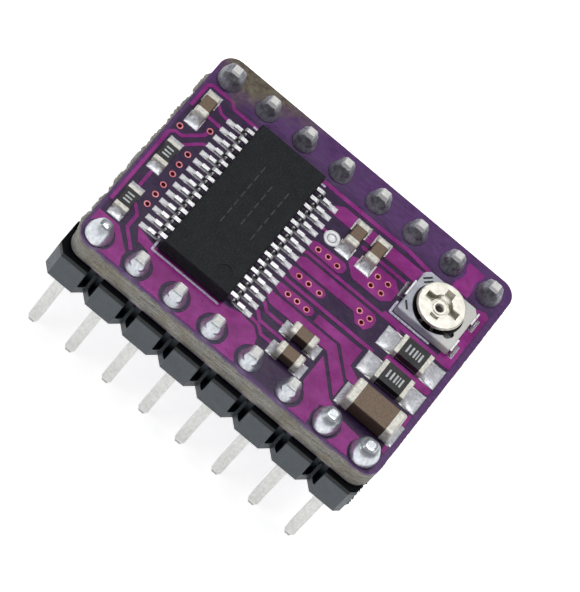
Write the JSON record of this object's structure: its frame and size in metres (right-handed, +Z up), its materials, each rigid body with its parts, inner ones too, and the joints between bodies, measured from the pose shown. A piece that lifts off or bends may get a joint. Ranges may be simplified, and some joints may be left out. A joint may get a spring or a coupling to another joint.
{
  "type": "stepper driver module",
  "caption": "Small plug-in motor driver board with a leaded driver chip, a trimmer with a turning rotor, chip components, and two pin headers under its long edges.",
  "frame": {"origin": "centre of the two-row pin pattern, on the seating plane under the header plastics", "axes": "+X along the pin rows, +Y from the front row towards the rear row, +Z up, away from the pins"},
  "size_m": [0.0204, 0.0153, 0.012],
  "materials": {
    "laminate": "cut glass-fibre laminate, matt grey-brown",
    "copper": "bare copper, satin",
    "plated_copper": "tinned copper, satin",
    "purple_mask": "purple solder mask, glossy",
    "silkscreen": "pale ink, matt",
    "header_plastic": "black moulded plastic, semi-matt",
    "pin_metal": "tinned, satin",
    "solder": "solder, satin",
    "moulding": "black epoxy moulding, matt",
    "tinned_lead": "tinned, satin",
    "silicon": "polished grey",
    "die_attach": "grey adhesive",
    "gold_wire": "bright gold",
    "trimmer_ceramic": "pale grey, matt",
    "resistive_film": "dark printed film, matt",
    "rotor_metal": "pale plated metal, satin",
    "spring_metal": "plated spring metal, satin",
    "alumina": "white alumina, matt",
    "resistor_overcoat": "black overcoat, semi-gloss",
    "component_terminal": "tinned end cap, satin",
    "capacitor_ceramic": "brown ceramic, semi-matt"
  },
  "bodies": {
    "module": {"board_laminate": "laminate", "top_copper": "plated_copper", "bottom_copper": "plated_copper", "hole_plating": "plated_copper", "via_barrels": "copper", "test_point": "plated_copper", "top_solder_mask": "purple_mask", "bottom_solder_mask": "purple_mask", "silkscreen": "silkscreen", "front_header_body": "header_plastic", "rear_header_body": "header_plastic", "front_header_pins": "pin_metal", "rear_header_pins": "pin_metal", "front_header_solder": "solder", "rear_header_solder": "solder", "driver_chip_body": "moulding", "driver_chip_leads": "tinned_lead", "driver_chip_paddle": "copper", "driver_chip_die": "silicon", "driver_chip_die_attach": "die_attach", "driver_chip_bond_wires": "gold_wire", "driver_chip_solder": "solder", "trimmer_base": "trimmer_ceramic", "trimmer_track": "resistive_film", "trimmer_eyelet": "rotor_metal", "trimmer_wiper_terminal": "tinned_lead", "trimmer_track_terminals": "tinned_lead", "trimmer_solder": "solder", "bulk_capacitor_electrodes": "spring_metal", "component_solder": "solder", "sense_resistor_a_substrate": "alumina", "sense_resistor_a_film": "resistive_film", "sense_resistor_a_overcoat": "resistor_overcoat", "sense_resistor_a_terminals": "component_terminal", "sense_resistor_b_substrate": "alumina", "sense_resistor_b_film": "resistive_film", "sense_resistor_b_overcoat": "resistor_overcoat", "sense_resistor_b_terminals": "component_terminal", "upper_resistor_substrate": "alumina", "upper_resistor_film": "resistive_film", "upper_resistor_overcoat": "resistor_overcoat", "upper_resistor_terminals": "component_terminal", "lower_resistor_substrate": "alumina", "lower_resistor_film": "resistive_film", "lower_resistor_overcoat": "resistor_overcoat", "lower_resistor_terminals": "component_terminal", "bulk_capacitor_body": "capacitor_ceramic", "bulk_capacitor_terminals": "component_terminal", "charge_pump_capacitor_body": "capacitor_ceramic", "charge_pump_capacitor_terminals": "component_terminal", "flying_capacitor_body": "capacitor_ceramic", "flying_capacitor_terminals": "component_terminal", "motor_supply_capacitor_body": "capacitor_ceramic", "motor_supply_capacitor_terminals": "component_terminal", "reference_capacitor_body": "capacitor_ceramic", "reference_capacitor_terminals": "component_terminal", "regulator_capacitor_body": "capacitor_ceramic", "regulator_capacitor_terminals": "component_terminal"},
    "rotor": {"trimmer_rotor": "rotor_metal", "trimmer_wiper": "spring_metal"}
  },
  "joints": [
    {"name": "rotor_turn", "type": "hinge", "parent": "module", "child": "rotor", "pos_m": [0.00727, 0.00321, 0.005], "axis": [0, 0, 1], "range_deg": [-130, 130]}
  ]
}
